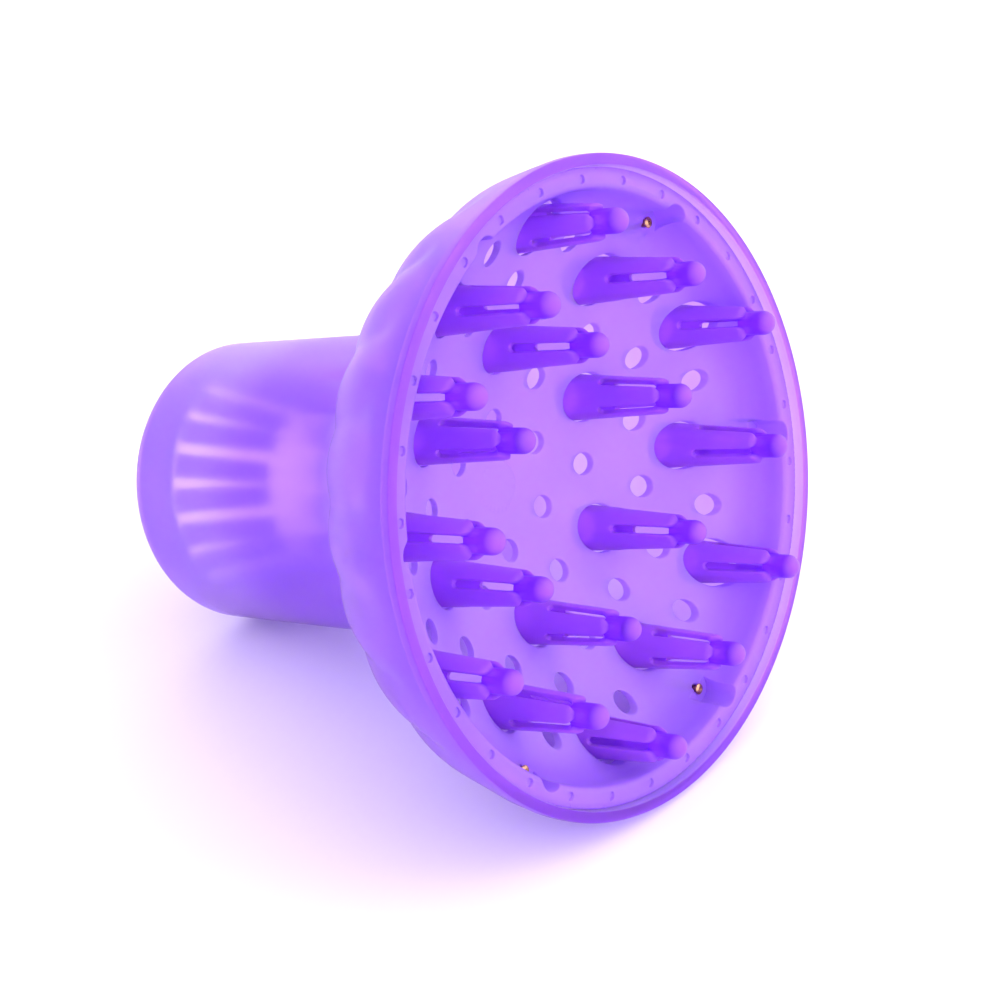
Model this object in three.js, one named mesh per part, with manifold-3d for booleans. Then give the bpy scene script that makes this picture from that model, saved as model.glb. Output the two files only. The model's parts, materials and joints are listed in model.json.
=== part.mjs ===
// Dryer diffuser: a bell with a plug-on neck, a dished and perforated plate held by six screws,
// eighteen hollow prongs pressed into the plate, and a slotted grip sleeve inside the neck.
// Millimetres, +Z up. The diffuser lies on its side, on the shoulder of its bell and the end of its
// neck, with its face towards -Y and the axis raised a little at the front.
// Each piece is first built along its own axis: +Z towards the face, z = 0 at the rim's front.
import * as THREE from 'three';
import { mergeVertices } from 'three/addons/utils/BufferGeometryUtils.js';
import Module from 'manifold-3d';

const wasm = await Module();
wasm.setup();

// ---- driving dimensions -------------------------------------------------------------------------
const GAP = 0.3; // clearance between neighbouring pieces
const TURN = 2 * Math.PI;
const deg = (angle) => (angle * Math.PI) / 180;

const RIM_RADIUS = 82.5;
const RIM_WIDTH = 3;
const RIM_HEIGHT = 2.7;
const WALL = 2.2;
const SHOULDER_ARC = 51.6; // radius of the bell's convex shoulder, in section
const SHOULDER_START = { r: 82, z: -4, angle: deg(5) };
const BELL_ANGLE = deg(45); // slope of the bell's cone to the axis
const NECK_FILLET = 16;
const NECK_RADIUS = 41.2;
const NECK_END_RADIUS = 40.2;
const NECK_END = -146;
const NECK_ROUND = 6;
const MOUTH_RADIUS = 31.5;
const LIP_THICKNESS = 3;

const PLATE_RECESS = 2.3; // depth of the plate's flange below the rim's front
const PLATE_THICKNESS = 2;
const FLANGE_INNER_RADIUS = 74.5;
const DISH_DEPTH = 42;
const DISH_ARC = 102;
const DISH_EDGE_RADIUS = 69.5; // where the dish's arc turns into the side wall's arc
const WALL_ARC = 13;
const WALL_TOP_ANGLE = deg(85);

const VENT_RADIUS = 3;
const SIXTH = 60; // the plate's pattern repeats six times
const TURN_IN_USE = 20; // angle of the first prong: how far the diffuser is turned as it lies
const DIMPLES = { count: 30, ring: 76.2, radius: 1.2, depth: 0.6 }; // shallow marks in the flange
const VENT_RINGS = [
  { ring: 17.3, angles: [0] },
  { ring: 30, angles: [30] },
  { ring: 46.5, angles: [18.5, 41.5] },
  { ring: 52.5, angles: [0] },
  { ring: 63, angles: [-14, 14] },
];
// Each prong was pressed in at a turn of its own, given for its slots in degrees.
const PRONG_RINGS = [
  { name: 'inner', ring: 36, angle: 0, tip: -3.6, turns: [23, 73, 17, 64, 17, 66] },
  { name: 'middle', ring: 57, angle: 30, tip: 6.7, turns: [75, 80, 65, 19, 17, 4] },
  { name: 'outer', ring: 65.7, angle: 0, tip: 6.7, turns: [70, 32, 71, 60, 73, 77] },
];

const PRONG = {
  pinRadius: 3.25, pinLength: 6.4, petalStart: 3.9, petalRadius: 4.7, petalRound: 2.6,
  taper: 0.055, wall: 1.35, slotLength: 23.9, slotWidth: 2.4, tail: 1.5,
};
const PRONG_SEAT = 6.3; // radius that a prong has where it passes through the plate

const SCREW_RING = 72.3;
const SCREW_ANGLE = 30; // half-way between two prongs of the inner ring
const SCREW_SEAT = -12.1;
const POCKET_RADIUS = 4;
const POCKET_WALL = 1.4;
const POCKET_FLOOR = 6; // thickness of the plate under a screw's head
const SCREW = { headRadius: 1.6, headHeight: 1.2, radius: 1, length: 11, recess: 0.7, cross: 0.5 };
const BOSS_RADIUS = 3.2;
const BOSS_END = -34;

const TONGUES = 20;
const SLEEVE = { outer: 37.4, inner: 32, back: -142.7, front: -134, turn: -2 };
const TONGUE = {
  rootRadius: 32.4, tipRadius: 24.6, length: 29.5, thickness: 1.6, slot: 3.6, narrowSlot: 1, gap: 0.5,
};

const ROUND = 40; // facets round a large part
const SMALL = 6; // facets round a small hole
const SHOULDER_STEPS = 6; // steps along the bell's shoulder in section

// ---- colours ------------------------------------------------------------------------------------
function plastic(color) {
  return new THREE.MeshStandardMaterial({ color, roughness: 0.38, metalness: 0 });
}
const SHELL_FINISH = plastic(0xba84fc);
const PLATE_FINISH = plastic(0xb67efc);
const PRONG_FINISH = plastic(0x984cfb);
const SLEEVE_FINISH = plastic(0xa674f9);
const SCREW_FINISH = new THREE.MeshStandardMaterial({ color: 0xb88a62, roughness: 0.3, metalness: 1 });

// ---- solids -------------------------------------------------------------------------------------
// A closed geometry becomes a manifold solid, turned right side out if its faces point inwards.
function toSolid(geometry) {
  const bare = geometry.clone();
  bare.deleteAttribute('normal');
  bare.deleteAttribute('uv');
  const merged = mergeVertices(bare, 1e-4);
  const index = merged.index.array;
  const at = merged.attributes.position;
  const corners = [0, 1, 2].map(() => new THREE.Vector3());
  const kept = [];
  let volume = 0;
  for (let i = 0; i < index.length; i += 3) {
    const face = [index[i], index[i + 1], index[i + 2]];
    if (new Set(face).size < 3) continue;
    kept.push(face);
    corners.forEach((corner, k) => corner.fromBufferAttribute(at, face[k]));
    volume += corners[0].dot(corners[1].clone().cross(corners[2]));
  }
  const triVerts = new Uint32Array(kept.flatMap((face) => (volume < 0 ? face.reverse() : face)));
  return new wasm.Manifold(new wasm.Mesh({ numProp: 3, vertProperties: at.array, triVerts }));
}

function toGeometry(solid) {
  const mesh = solid.getMesh();
  const geometry = new THREE.BufferGeometry();
  geometry.setAttribute('position', new THREE.BufferAttribute(mesh.vertProperties, 3));
  geometry.setIndex(new THREE.BufferAttribute(mesh.triVerts, 1));
  geometry.computeVertexNormals();
  return geometry;
}

// A solid of revolution about Z from an outline of [radius, z] points. A facet, not a corner,
// faces the side that the diffuser lies on.
function revolve(outline, facets) {
  const points = outline.map(([r, z]) => new THREE.Vector2(r, z));
  const open = outline[0][0] > 0 || outline[outline.length - 1][0] > 0;
  if (open) points.push(points[0].clone());
  const geometry = new THREE.LatheGeometry(points, facets, Math.PI / facets, TURN);
  geometry.rotateX(Math.PI / 2);
  return toSolid(geometry);
}

// A round bar along Z, between two heights, at a place given by ring radius and angle.
function bar(radius, from, to, facets, ring = 0, angle = 0) {
  const geometry = new THREE.CylinderGeometry(radius, radius, Math.abs(to - from), facets);
  geometry.rotateX(Math.PI / 2);
  geometry.translate(ring * Math.cos(deg(angle)), ring * Math.sin(deg(angle)), (from + to) / 2);
  return toSolid(geometry);
}

function joinAll(solids) {
  return solids.reduce((whole, solid) => whole.add(solid));
}

// Points of a circular arc in section: centre plus radius times (cos, -sin) of the angle.
function arc(centre, radius, from, to, steps) {
  const points = [];
  for (let i = 0; i <= steps; i += 1) {
    const angle = from + ((to - from) * i) / steps;
    points.push([centre.r + radius * Math.cos(angle), centre.z - radius * Math.sin(angle)]);
  }
  return points;
}

// ---- bell and neck ------------------------------------------------------------------------------
// The bell's section from its shoulder to the neck's end, moved inwards by inset: a convex
// shoulder, a straight cone and a concave fillet into the neck.
function bellLine(inset) {
  const shoulder = {
    r: SHOULDER_START.r - SHOULDER_ARC * Math.cos(SHOULDER_START.angle),
    z: SHOULDER_START.z + SHOULDER_ARC * Math.sin(SHOULDER_START.angle),
  };
  const side = Math.cos(BELL_ANGLE);
  const rise = Math.sin(BELL_ANGLE);
  const coneTop = { r: shoulder.r + SHOULDER_ARC * side, z: shoulder.z - SHOULDER_ARC * rise };
  const coneEnd = NECK_RADIUS + NECK_FILLET * (1 - side);
  const run = (coneTop.r - coneEnd) / Math.tan(BELL_ANGLE);
  const fillet = { r: NECK_RADIUS + NECK_FILLET, z: coneTop.z - run - NECK_FILLET * rise };
  return [
    ...arc(shoulder, SHOULDER_ARC - inset, SHOULDER_START.angle, BELL_ANGLE, SHOULDER_STEPS),
    ...arc(fillet, -NECK_FILLET - inset, BELL_ANGLE, 0, 3),
  ];
}

function outerLine(inset) {
  const round = { r: NECK_END_RADIUS - NECK_ROUND, z: NECK_END + NECK_ROUND };
  return [...bellLine(inset), ...arc(round, NECK_ROUND - inset, 0, Math.PI / 2, 3)];
}

function makeShell() {
  const ledge = -PLATE_RECESS - PLATE_THICKNESS - GAP;
  const inside = bellLine(WALL);
  const neckInside = NECK_END_RADIUS - WALL;
  const shell = revolve([
    [RIM_RADIUS - RIM_WIDTH, 0],
    [RIM_RADIUS - 0.6, 0],
    [RIM_RADIUS, -0.6],
    [RIM_RADIUS, -RIM_HEIGHT],
    ...outerLine(0),
    [MOUTH_RADIUS, NECK_END],
    [MOUTH_RADIUS, NECK_END + LIP_THICKNESS],
    [neckInside, NECK_END + LIP_THICKNESS],
    ...inside.slice(2).reverse(),
    [inside[2][0], ledge],
    [RIM_RADIUS - RIM_WIDTH, ledge],
  ], ROUND);
  const envelope = revolve([[0, NECK_END], ...outerLine(WALL / 2).reverse(), [0, SHOULDER_START.z]], ROUND);
  const bosses = sixAngles(SCREW_ANGLE).map((angle) => screwBoss(angle).intersect(envelope));
  const holes = sixAngles(SCREW_ANGLE).map((angle) => (
    bar(SCREW.radius + GAP, SCREW_SEAT - SCREW.length - 1, 0, SMALL, SCREW_RING, angle)
  ));
  return joinAll([shell, ...bosses]).subtract(joinAll(holes));
}

function screwBoss(angle) {
  return bar(BOSS_RADIUS, BOSS_END, SCREW_SEAT - POCKET_FLOOR - GAP, 12, SCREW_RING, angle);
}

// Six angles, a sixth of a turn apart, counted from the first prong.
function sixAngles(first) {
  return [0, 1, 2, 3, 4, 5].map((i) => TURN_IN_USE + first + i * SIXTH);
}

// ---- plate --------------------------------------------------------------------------------------
function dishHeight(r) {
  return DISH_ARC - DISH_DEPTH - Math.sqrt(DISH_ARC ** 2 - r ** 2);
}

// The plate's front, from the middle to the flange; drop moves it back to make its rear face.
function plateLine(drop) {
  const middle = { r: 0, z: DISH_ARC - DISH_DEPTH };
  const edgeAngle = Math.asin(DISH_EDGE_RADIUS / DISH_ARC);
  const bend = {
    r: DISH_EDGE_RADIUS * (1 - WALL_ARC / DISH_ARC),
    z: middle.z - (DISH_ARC - WALL_ARC) * Math.cos(edgeAngle),
  };
  return [
    ...arc(middle, DISH_ARC + drop, Math.PI / 2, Math.PI / 2 - edgeAngle, 5),
    ...arc(bend, WALL_ARC + drop, Math.PI / 2 - edgeAngle, Math.PI / 2 - WALL_TOP_ANGLE, 3).slice(1),
  ];
}

function makePlate() {
  const front = plateLine(0);
  const rear = plateLine(PLATE_THICKNESS);
  front[0][0] = 0;
  rear[0][0] = 0;
  const flangeRadius = RIM_RADIUS - RIM_WIDTH - GAP;
  const flangeBack = -PLATE_RECESS - PLATE_THICKNESS;
  const sheet = revolve([
    ...front,
    [FLANGE_INNER_RADIUS - 0.5, -PLATE_RECESS - 0.8],
    [FLANGE_INNER_RADIUS, -PLATE_RECESS],
    [flangeRadius, -PLATE_RECESS],
    [flangeRadius, flangeBack],
    [FLANGE_INNER_RADIUS + PLATE_THICKNESS - 0.5, flangeBack],
    ...rear.reverse(),
  ], ROUND);
  const inside = bellLine(WALL + GAP);
  const room = revolve([
    [0, inside[SHOULDER_STEPS][1]],
    ...inside.slice(2, SHOULDER_STEPS + 1).reverse(),
    [inside[2][0], -PLATE_RECESS - 1],
    [0, -PLATE_RECESS - 1],
  ], ROUND);
  const cups = sixAngles(SCREW_ANGLE).map((angle) => bar(
    POCKET_RADIUS + POCKET_WALL, SCREW_SEAT - POCKET_FLOOR, -PLATE_RECESS - 1, 12, SCREW_RING, angle,
  ).intersect(room));
  const cuts = [...pocketCuts(), ...ventCuts(), ...dimpleCuts(), ...prongSeats()];
  return joinAll([sheet, ...cups]).subtract(joinAll(cuts));
}

function pocketCuts() {
  return sixAngles(SCREW_ANGLE).flatMap((angle) => [
    bar(POCKET_RADIUS, SCREW_SEAT, 1, 12, SCREW_RING, angle),
    bar(SCREW.radius + GAP, SCREW_SEAT - POCKET_FLOOR - 1, 0, SMALL, SCREW_RING, angle),
  ]);
}

function ventCuts() {
  const cuts = [];
  for (const { ring, angles } of VENT_RINGS) {
    const from = dishHeight(ring + VENT_RADIUS) + 1;
    const to = dishHeight(ring - VENT_RADIUS) - PLATE_THICKNESS - 2;
    for (const angle of angles.flatMap(sixAngles)) {
      cuts.push(bar(VENT_RADIUS, from, to, SMALL, ring, angle));
    }
  }
  return cuts;
}

function dimpleCuts() {
  const { count, ring, radius, depth } = DIMPLES;
  const angles = Array.from({ length: count }, (_, i) => TURN_IN_USE + (i * 360) / count);
  return angles.map((angle) => bar(radius, -PLATE_RECESS - depth, 0, 8, ring, angle));
}

function prongSeats() {
  return PRONG_RINGS.flatMap(({ ring, angle }) => sixAngles(angle).map((place) => (
    bar(PRONG_SEAT + GAP, 0, -DISH_DEPTH - 5, 10, ring, place)
  )));
}

// ---- prongs -------------------------------------------------------------------------------------
// A prong stands on z = 0 at the middle of its domed tip and reaches back by length. It is a
// tapered tube with four long slots, closed by a pin that carries the dome.
function makeProng(length) {
  const p = PRONG;
  const petalEnd = p.petalStart + p.petalRound;
  const radiusAt = (depth) => Math.min(p.petalRadius + (depth - petalEnd) * p.taper, PRONG_SEAT);
  const dome = arc({ r: 0, z: 0 }, p.pinRadius, -Math.PI / 2, 0, 3);
  dome[0][0] = 0;
  const body = revolve([
    ...dome,
    [p.pinRadius, -p.petalStart],
    [p.petalRadius - 0.4, -p.petalStart - p.petalRound / 3],
    [p.petalRadius, -petalEnd],
    [radiusAt(length), -length],
    [radiusAt(length) - p.wall, -length],
    [radiusAt(p.pinLength) - p.wall, -p.pinLength],
    [0, -p.pinLength],
  ], 10);
  const slots = [0, 90].map((turn) => {
    const box = new THREE.BoxGeometry(p.slotWidth, 20, p.slotLength - p.pinLength);
    box.translate(0, 0, -(p.slotLength + p.pinLength) / 2);
    box.rotateZ(deg(turn));
    return toSolid(box);
  });
  return body.subtract(joinAll(slots));
}

// ---- screws and sleeve --------------------------------------------------------------------------
function makeScrew() {
  const s = SCREW;
  const body = revolve([
    [0, s.headHeight],
    [s.headRadius * 0.7, s.headHeight],
    [s.headRadius, s.headHeight * 0.4],
    [s.headRadius, GAP],
    [s.radius, GAP],
    [s.radius, 1.5 - s.length],
    [0, -s.length],
  ], 10);
  const cross = [0, 90].map((turn) => {
    const box = new THREE.BoxGeometry(s.cross, s.headRadius * 1.2, s.recess * 2);
    box.rotateZ(deg(turn));
    box.translate(0, 0, s.headHeight);
    return toSolid(box);
  });
  return body.subtract(joinAll(cross));
}

function makeSleeveRing() {
  const s = SLEEVE;
  return revolve([
    [s.inner, s.back],
    [s.outer, s.back],
    [s.outer, s.front - 3],
    [s.outer - 1.2, s.front],
    [s.inner, s.front],
  ], 40);
}

// A tongue starts at z = 0 at its root radius along X and leans in towards the axis. Its two edges
// differ, and every other tongue is mirrored, so that wide and narrow slots alternate.
function makeTongue(i) {
  const t = TONGUE;
  const half = Math.tan(Math.PI / TONGUES);
  const root = t.rootRadius * half - t.slot / 2;
  const slim = t.tipRadius * half - t.slot / 2;
  const full = t.tipRadius * half - t.narrowSlot / 2;
  const lean = Math.atan((t.rootRadius - t.tipRadius) / t.length);
  const reach = t.length / Math.cos(lean);
  const side = i % 2 === 0 ? 1 : -1;
  const outline = [
    [-root, 0], [root, 0], [full, reach - 1], [full - 1, reach], [1 - slim, reach], [-slim, reach - 1],
  ];
  const shape = new THREE.Shape(outline.map(([x, y]) => new THREE.Vector2(side * x, y)));
  const geometry = new THREE.ExtrudeGeometry(shape, { depth: t.thickness, bevelEnabled: false });
  geometry.rotateX(Math.PI / 2);
  geometry.rotateZ(Math.PI / 2);
  geometry.rotateY(-lean);
  geometry.translate(t.rootRadius, 0, 0);
  return toSolid(geometry);
}

// ---- assembly -----------------------------------------------------------------------------------
// The tilt at which the bell's shoulder and the neck's end are equally low.
function restingTilt() {
  const lowest = (points, tilt) => Math.min(...points.map(([r, z]) => (
    z * Math.sin(tilt) - r * Math.cos(Math.PI / ROUND) * Math.cos(tilt)
  )));
  const line = outerLine(0);
  const bell = line.filter(([, z]) => z > NECK_END / 2);
  const neck = line.filter(([, z]) => z < NECK_END / 2);
  let low = 0;
  let high = deg(45);
  for (let i = 0; i < 40; i += 1) {
    const middle = (low + high) / 2;
    if (lowest(bell, middle) < lowest(neck, middle)) low = middle;
    else high = middle;
  }
  return low;
}

function piece(name, solid, material) {
  const mesh = new THREE.Mesh(toGeometry(solid), material);
  mesh.name = name;
  return mesh;
}

// Copies of a piece at some angles of a ring, each turned by its own angle, or by turns if given.
function addRing(group, name, angles, ring, z, make, material, turns = angles) {
  angles.forEach((angle, i) => {
    const mesh = piece(`${name}_${i + 1}`, make(i), material);
    mesh.position.set(ring * Math.cos(deg(angle)), ring * Math.sin(deg(angle)), z);
    mesh.rotation.z = deg(turns[i]);
    group.add(mesh);
  });
}

function assemble() {
  const axis = new THREE.Group();
  axis.add(piece('bell_shell', makeShell(), SHELL_FINISH));
  axis.add(piece('diffuser_plate', makePlate(), PLATE_FINISH));
  for (const { name, ring, angle, tip, turns } of PRONG_RINGS) {
    const back = dishHeight(ring - PRONG_SEAT) - PLATE_THICKNESS - PRONG.tail;
    const prong = () => makeProng(tip - back);
    addRing(axis, `${name}_prong`, sixAngles(angle), ring, tip, prong, PRONG_FINISH, turns);
  }
  addRing(axis, 'plate_screw', sixAngles(SCREW_ANGLE), SCREW_RING, SCREW_SEAT, makeScrew, SCREW_FINISH);
  axis.add(piece('grip_sleeve_ring', makeSleeveRing(), SLEEVE_FINISH));
  const tongueAngles = Array.from({ length: TONGUES }, (_, i) => SLEEVE.turn + ((i + 0.5) * 360) / TONGUES);
  const tongueRoot = SLEEVE.front + TONGUE.gap;
  addRing(axis, 'grip_tongue', tongueAngles, 0, tongueRoot, makeTongue, SLEEVE_FINISH);
  return axis;
}

// The tilted diffuser, standing on z = 0 with the middle of its box over the origin.
function layDown(axis) {
  axis.rotation.x = Math.PI / 2 - restingTilt();
  const box = new THREE.Box3().setFromObject(axis, true);
  const middle = box.getCenter(new THREE.Vector3());
  axis.position.set(-middle.x, -middle.y, -box.min.z);
  const diffuser = new THREE.Group();
  diffuser.add(axis);
  return diffuser;
}

export default layDown(assemble());
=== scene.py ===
import json
import math

import bmesh
import bpy
import numpy as np
from mathutils import Matrix, Vector
from mathutils.geometry import delaunay_2d_cdt


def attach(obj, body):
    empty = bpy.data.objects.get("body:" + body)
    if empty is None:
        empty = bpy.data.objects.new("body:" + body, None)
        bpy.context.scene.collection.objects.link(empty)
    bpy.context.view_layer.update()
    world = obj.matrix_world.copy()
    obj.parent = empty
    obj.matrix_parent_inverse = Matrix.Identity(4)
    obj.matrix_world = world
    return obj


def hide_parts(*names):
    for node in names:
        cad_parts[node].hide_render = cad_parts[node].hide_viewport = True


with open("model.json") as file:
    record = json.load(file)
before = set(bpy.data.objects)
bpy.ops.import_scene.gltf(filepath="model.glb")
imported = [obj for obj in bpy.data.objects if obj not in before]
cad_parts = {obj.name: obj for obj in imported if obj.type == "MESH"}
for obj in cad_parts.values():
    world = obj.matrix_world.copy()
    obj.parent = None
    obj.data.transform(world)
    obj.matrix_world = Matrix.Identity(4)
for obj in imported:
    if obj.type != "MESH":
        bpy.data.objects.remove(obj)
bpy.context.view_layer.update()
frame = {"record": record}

# A dryer diffuser in translucent violet plastic. Every piece is made along the diffuser's own axis
# in millimetres, +Z towards the face and z = 0 at the rim's front, and AXIS puts it in the frame.

MM = 0.001
QUARTER = math.pi / 2
SIXTH = math.radians(60)
CLEARANCE = 0.3  # the gap between pieces that fit together
SMALL_ROUND = 0.3
FACETS = 40
INSCRIBED = math.cos(math.pi / FACETS)  # keeps round pieces inside the frame's flat-sided ones
MOUNT_RADIUS = 32.8  # from the axis to the socket mount, which is on the neck's end

# The bell and its neck
RIM_RADIUS = 82.5
RIM_INNER = 79.5
RIM_HEIGHT = 2.7
RIM_ROUND = 0.7
WALL = 2.2
SHOULDER_ARC = 51.6
SHOULDER_START = (82.0, -4.0, math.radians(5))  # radius, height and slope
BELL_ANGLE = math.radians(45)
STRAIGHT_END = -15.0  # the bell's inner wall is straight from the plate's ledge to this height
NECK_FILLET = 16.0
NECK_RADIUS = 41.2
NECK_END_RADIUS = 40.2
NECK_END = -146.0
NECK_ROUND = 6.6
MOUTH_RADIUS = 31.5
LIP_THICKNESS = 3.0
LIP_FILLET = 0.8
LOBES = 24
LOBE_DEPTH = 1.5
LOBE_VALLEY = math.radians(11.6)
VALLEY_ROUND = 0.015  # how soft the valleys between the lobes are
LOBES_FADE_IN = (5.5, 16)  # where the fade starts and ends, behind the rim's front
LOBES_FADE_OUT = (52, 82)
SHELL_SEGMENTS = 360

# The plate. The angles of the first hole of each six are in degrees.
PLATE_TOP = -2.3
PLATE_THICKNESS = 2.0
FLANGE_INNER = 74.5
FLANGE_OUTER = 79.0
FLANGE_ROUND = 1.6
DISH_ARC = 102.0
DISH_CENTRE = 60.0
DISH_EDGE = 69.5
WALL_ARC = 13.0
WALL_TOP = math.radians(85)
PATTERN_TURN = math.radians(20)
VENT_RADIUS = 3.0
VENT_RINGS = [(17.3, [0]), (30.0, [30]), (46.5, [18.5, 41.5]), (52.5, [0]), (63.0, [-14, 14])]
DIMPLES = 30
DIMPLE_RING = 76.2
DIMPLE_RADIUS = 1.2
DIMPLE_DEPTH = 0.6
DIMPLE_SLOPE = 0.25
GATE_RADIUS = 6.7
GATE_DEPTH = 0.15
GATE_HALF = 0.3
EDGE_ROUND = 0.35

# Spacing of the points that the plate is built on
SECTION_STEP = 1.5
PLAN_STEP = 1.6
LOOP_STEP = 0.6
OUTLINE_STEP = 1.2
FLANGE_POINTS = 300
LEAST_GAP = 0.12

# The prongs: each ring's name, radius, first angle and the height at which its pins' domes start,
# and how far each prong is turned in its seat. The angles are in degrees.
PRONG_RINGS = [("inner", 36.0, 0, -3.6), ("middle", 57.0, 30, 6.7), ("outer", 65.7, 0, 6.7)]
PRONG_TURNS = {
    "inner": [23, 73, 17, 64, 17, 66],
    "middle": [75, 80, 65, 19, 17, 4],
    "outer": [70, 32, 71, 60, 73, 77],
}
PRONG_SEAT = 6.3
PIN_RADIUS = 3.15
PIN_LENGTH = 6.4
PIN_BASE = 0.5
PIN_OVERLAP = 0.6  # how far the petals' inner faces are inside the pin that they hold
PETAL_TUCK = 0.3  # how far the petals' tips end inside it
PETAL_END = 3.9
PETAL_ROUND = 2.6
PETAL_RADIUS = 4.7
PRONG_TAPER = 0.055
PRONG_WALL = 1.35
PRONG_ROUND = 0.3
FOOT_ROUND = 0.4
SLOT_LENGTH = 23.9
SLOT_WIDTH = 2.4
PRONG_TAIL = 1.5
PETAL_COLUMNS = [0, 0.03, 0.07, *np.linspace(0.13, 0.87, 9), 0.93, 0.97, 1]

# The screws and their bosses
SCREW_RING = 72.3
SCREW_TURN = 30
SCREW_SEAT = -12.1
POCKET_RADIUS = 4.0
CUP_RADIUS = 4.7
CUP_END = -18.1
BOSS_RADIUS = 3.2
BOSS_ROUND = 0.4
BOSS_FOOT = -30.0
BOSS_SPARE = 1.0  # room in the boss's hole past the screw's point
HEAD_RADIUS = 1.5
HEAD_HEIGHT = 1.1
HEAD_EDGE = 0.5  # height of the head's widest line
HEAD_DOME = 0.55  # share of the head's height that is domed
SHANK_RADIUS = 1.0
SCREW_LENGTH = 11.0
SCREW_POINT = 1.5
SCREW_SOFTENING = 0.08
RECESS_HALF = 0.24
RECESS_REACH = 0.95
RECESS_DEPTH = 0.7
RECESS_TAPER = 0.6

# The grip sleeve
TONGUES = 20
SLEEVE_TURN = math.radians(-2)
SLEEVE_OUTER = 37.4
SLEEVE_INNER = 32.0
SLEEVE_BACK = -142.7
SLEEVE_FRONT = -134.0
SLEEVE_ROUND = 0.5
SLEEVE_BACK_ROUND = 0.6
TONGUE_ROOT = 32.4
TONGUE_TIP = 24.6
TONGUE_LENGTH = 29.5
TONGUE_THICKNESS = 1.6
TONGUE_GAP = 0.5
TONGUE_BOW = 0.3
TONGUE_COLUMNS = 9
TONGUE_SOFTENING = 0.35
TIP_LENGTH = 1.4
TIP_PULL = 1.2
WIDE_SLOT = 3.6
NARROW_SLOT = 1.0

# Depth of colour, from 0 to 1, with painted shade and painted light mixed in. The shell's changes start and
# end behind the rim's front.
COLOR_DEPTH_AND_PAINTED_LIGHT = "color_depth_and_painted_light"
RIM_CHANGE = (0.2, 1.8)
# Painted shade: the bell's outside is darker towards the rim, and the throat, inside and out, has a darker
# band.
BELL_PAINTED_SHADE = (30, 52)
THROAT_PAINTED_SHADE_START = (50, 72)
THROAT_PAINTED_SHADE_END = (94, 118)
LIP_CHANGE = 9.0
LIP_DEPTH = 0.8
# The outside's bell and throat values are painted shade; the inside is painted paler than the outside, as
# painted light.
OUTSIDE_DEPTH_AND_PAINTED_SHADE = {"rim": 0.95, "neck": 0.64, "throat": 0.17, "bell": 0.18}
INSIDE_DEPTH_AND_PAINTED_SHADE = {"rim": 0.5, "throat": 0.57}
# Painted shade where the plate's dish turns up into its flange.
FLANGE_PAINTED_SHADE = 0.45

# The studio, in metres
CAMERA_PLACE = (-0.35934, -0.30937, 0.31584)
CAMERA_AIM = (-0.02024, -0.03718, 0.07803)
CAMERA_LENS = 72.33
LIGHTS = [("key", (0.5, -1.0, 1.4), 5), ("side", (-1.2, 0.1, 1.2), 2), ("back", (0.7, 1.1, 0.9), 5)]
LIGHT_AIM = (0, 0, 0.08)
LIGHT_SIZE = 0.9
FRONT_LIGHT = (0.15, -0.9, -0.42)  # the way to the brightest surroundings
DIMMEST = 1.1
BRIGHTEST = 2.85
FLOOR_HALF = 4.0


# ---- the axis -----------------------------------------------------------------------------------
def axis_matrix():
    """Places millimetres along the diffuser's axis in the frame, worked out from the socket mount."""
    mount = frame["record"]["mounts"][0]
    forward = -Vector(mount["axis"]).normalized()
    across = Vector((1, 0, 0))
    up = forward.cross(across)
    origin = Vector(mount["pos_m"]) - MM * (NECK_END * forward + MOUNT_RADIUS * up)
    turn = Matrix((across, up, forward)).transposed().to_4x4()
    return Matrix.Translation(origin) @ turn @ Matrix.Scale(MM, 4)


AXIS = axis_matrix()


def polar(radius, angle):
    return radius * math.cos(angle), radius * math.sin(angle)


def six_angles(first):
    return [PATTERN_TURN + math.radians(first) + i * SIXTH for i in range(6)]


def smooth_step(low, high, value):
    t = min(1.0, max(0.0, (value - low) / (high - low)))
    return t * t * (3 - 2 * t)


# ---- outlines -----------------------------------------------------------------------------------
def arc(centre, radius, start, end, steps):
    """Points of an arc in section: centre plus radius times (cos, -sin) of the angle."""
    angles = np.linspace(start, end, steps + 1)
    return [(centre[0] + radius * math.cos(a), centre[1] - radius * math.sin(a)) for a in angles]


def bell_line(inset):
    """The bell's section from shoulder to neck, moved inwards by inset."""
    radius, height, angle = SHOULDER_START
    shoulder = (radius - SHOULDER_ARC * math.cos(angle), height + SHOULDER_ARC * math.sin(angle))
    side, rise = math.cos(BELL_ANGLE), math.sin(BELL_ANGLE)
    cone_top = (shoulder[0] + SHOULDER_ARC * side, shoulder[1] - SHOULDER_ARC * rise)
    run = (cone_top[0] - NECK_RADIUS - NECK_FILLET * (1 - side)) / math.tan(BELL_ANGLE)
    fillet = (NECK_RADIUS + NECK_FILLET, cone_top[1] - run - NECK_FILLET * rise)
    first = arc(shoulder, SHOULDER_ARC - inset, angle, BELL_ANGLE, 28)
    return first + arc(fillet, -NECK_FILLET - inset, BELL_ANGLE, 0, 14)


def outer_line():
    """The bell's outer section down to its neck's rounded end."""
    centre = (NECK_END_RADIUS - NECK_ROUND, NECK_END + NECK_ROUND)
    return bell_line(0) + arc(centre, NECK_ROUND, 0, QUARTER, 12)


def spread(points, step):
    """The same line with points no further than step apart."""
    made = [points[0]]
    for a, b in zip(points[:-1], points[1:]):
        parts = max(1, math.ceil(math.dist(a, b) / step))
        made += [(a[0] + (b[0] - a[0]) * k / parts, a[1] + (b[1] - a[1]) * k / parts)
                 for k in range(1, parts + 1)]
    return made


def height_on(line, radius):
    """The height at which a line in section has a radius."""
    points = sorted(line)
    return np.interp(radius, [r for r, _ in points], [z for _, z in points])


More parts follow.
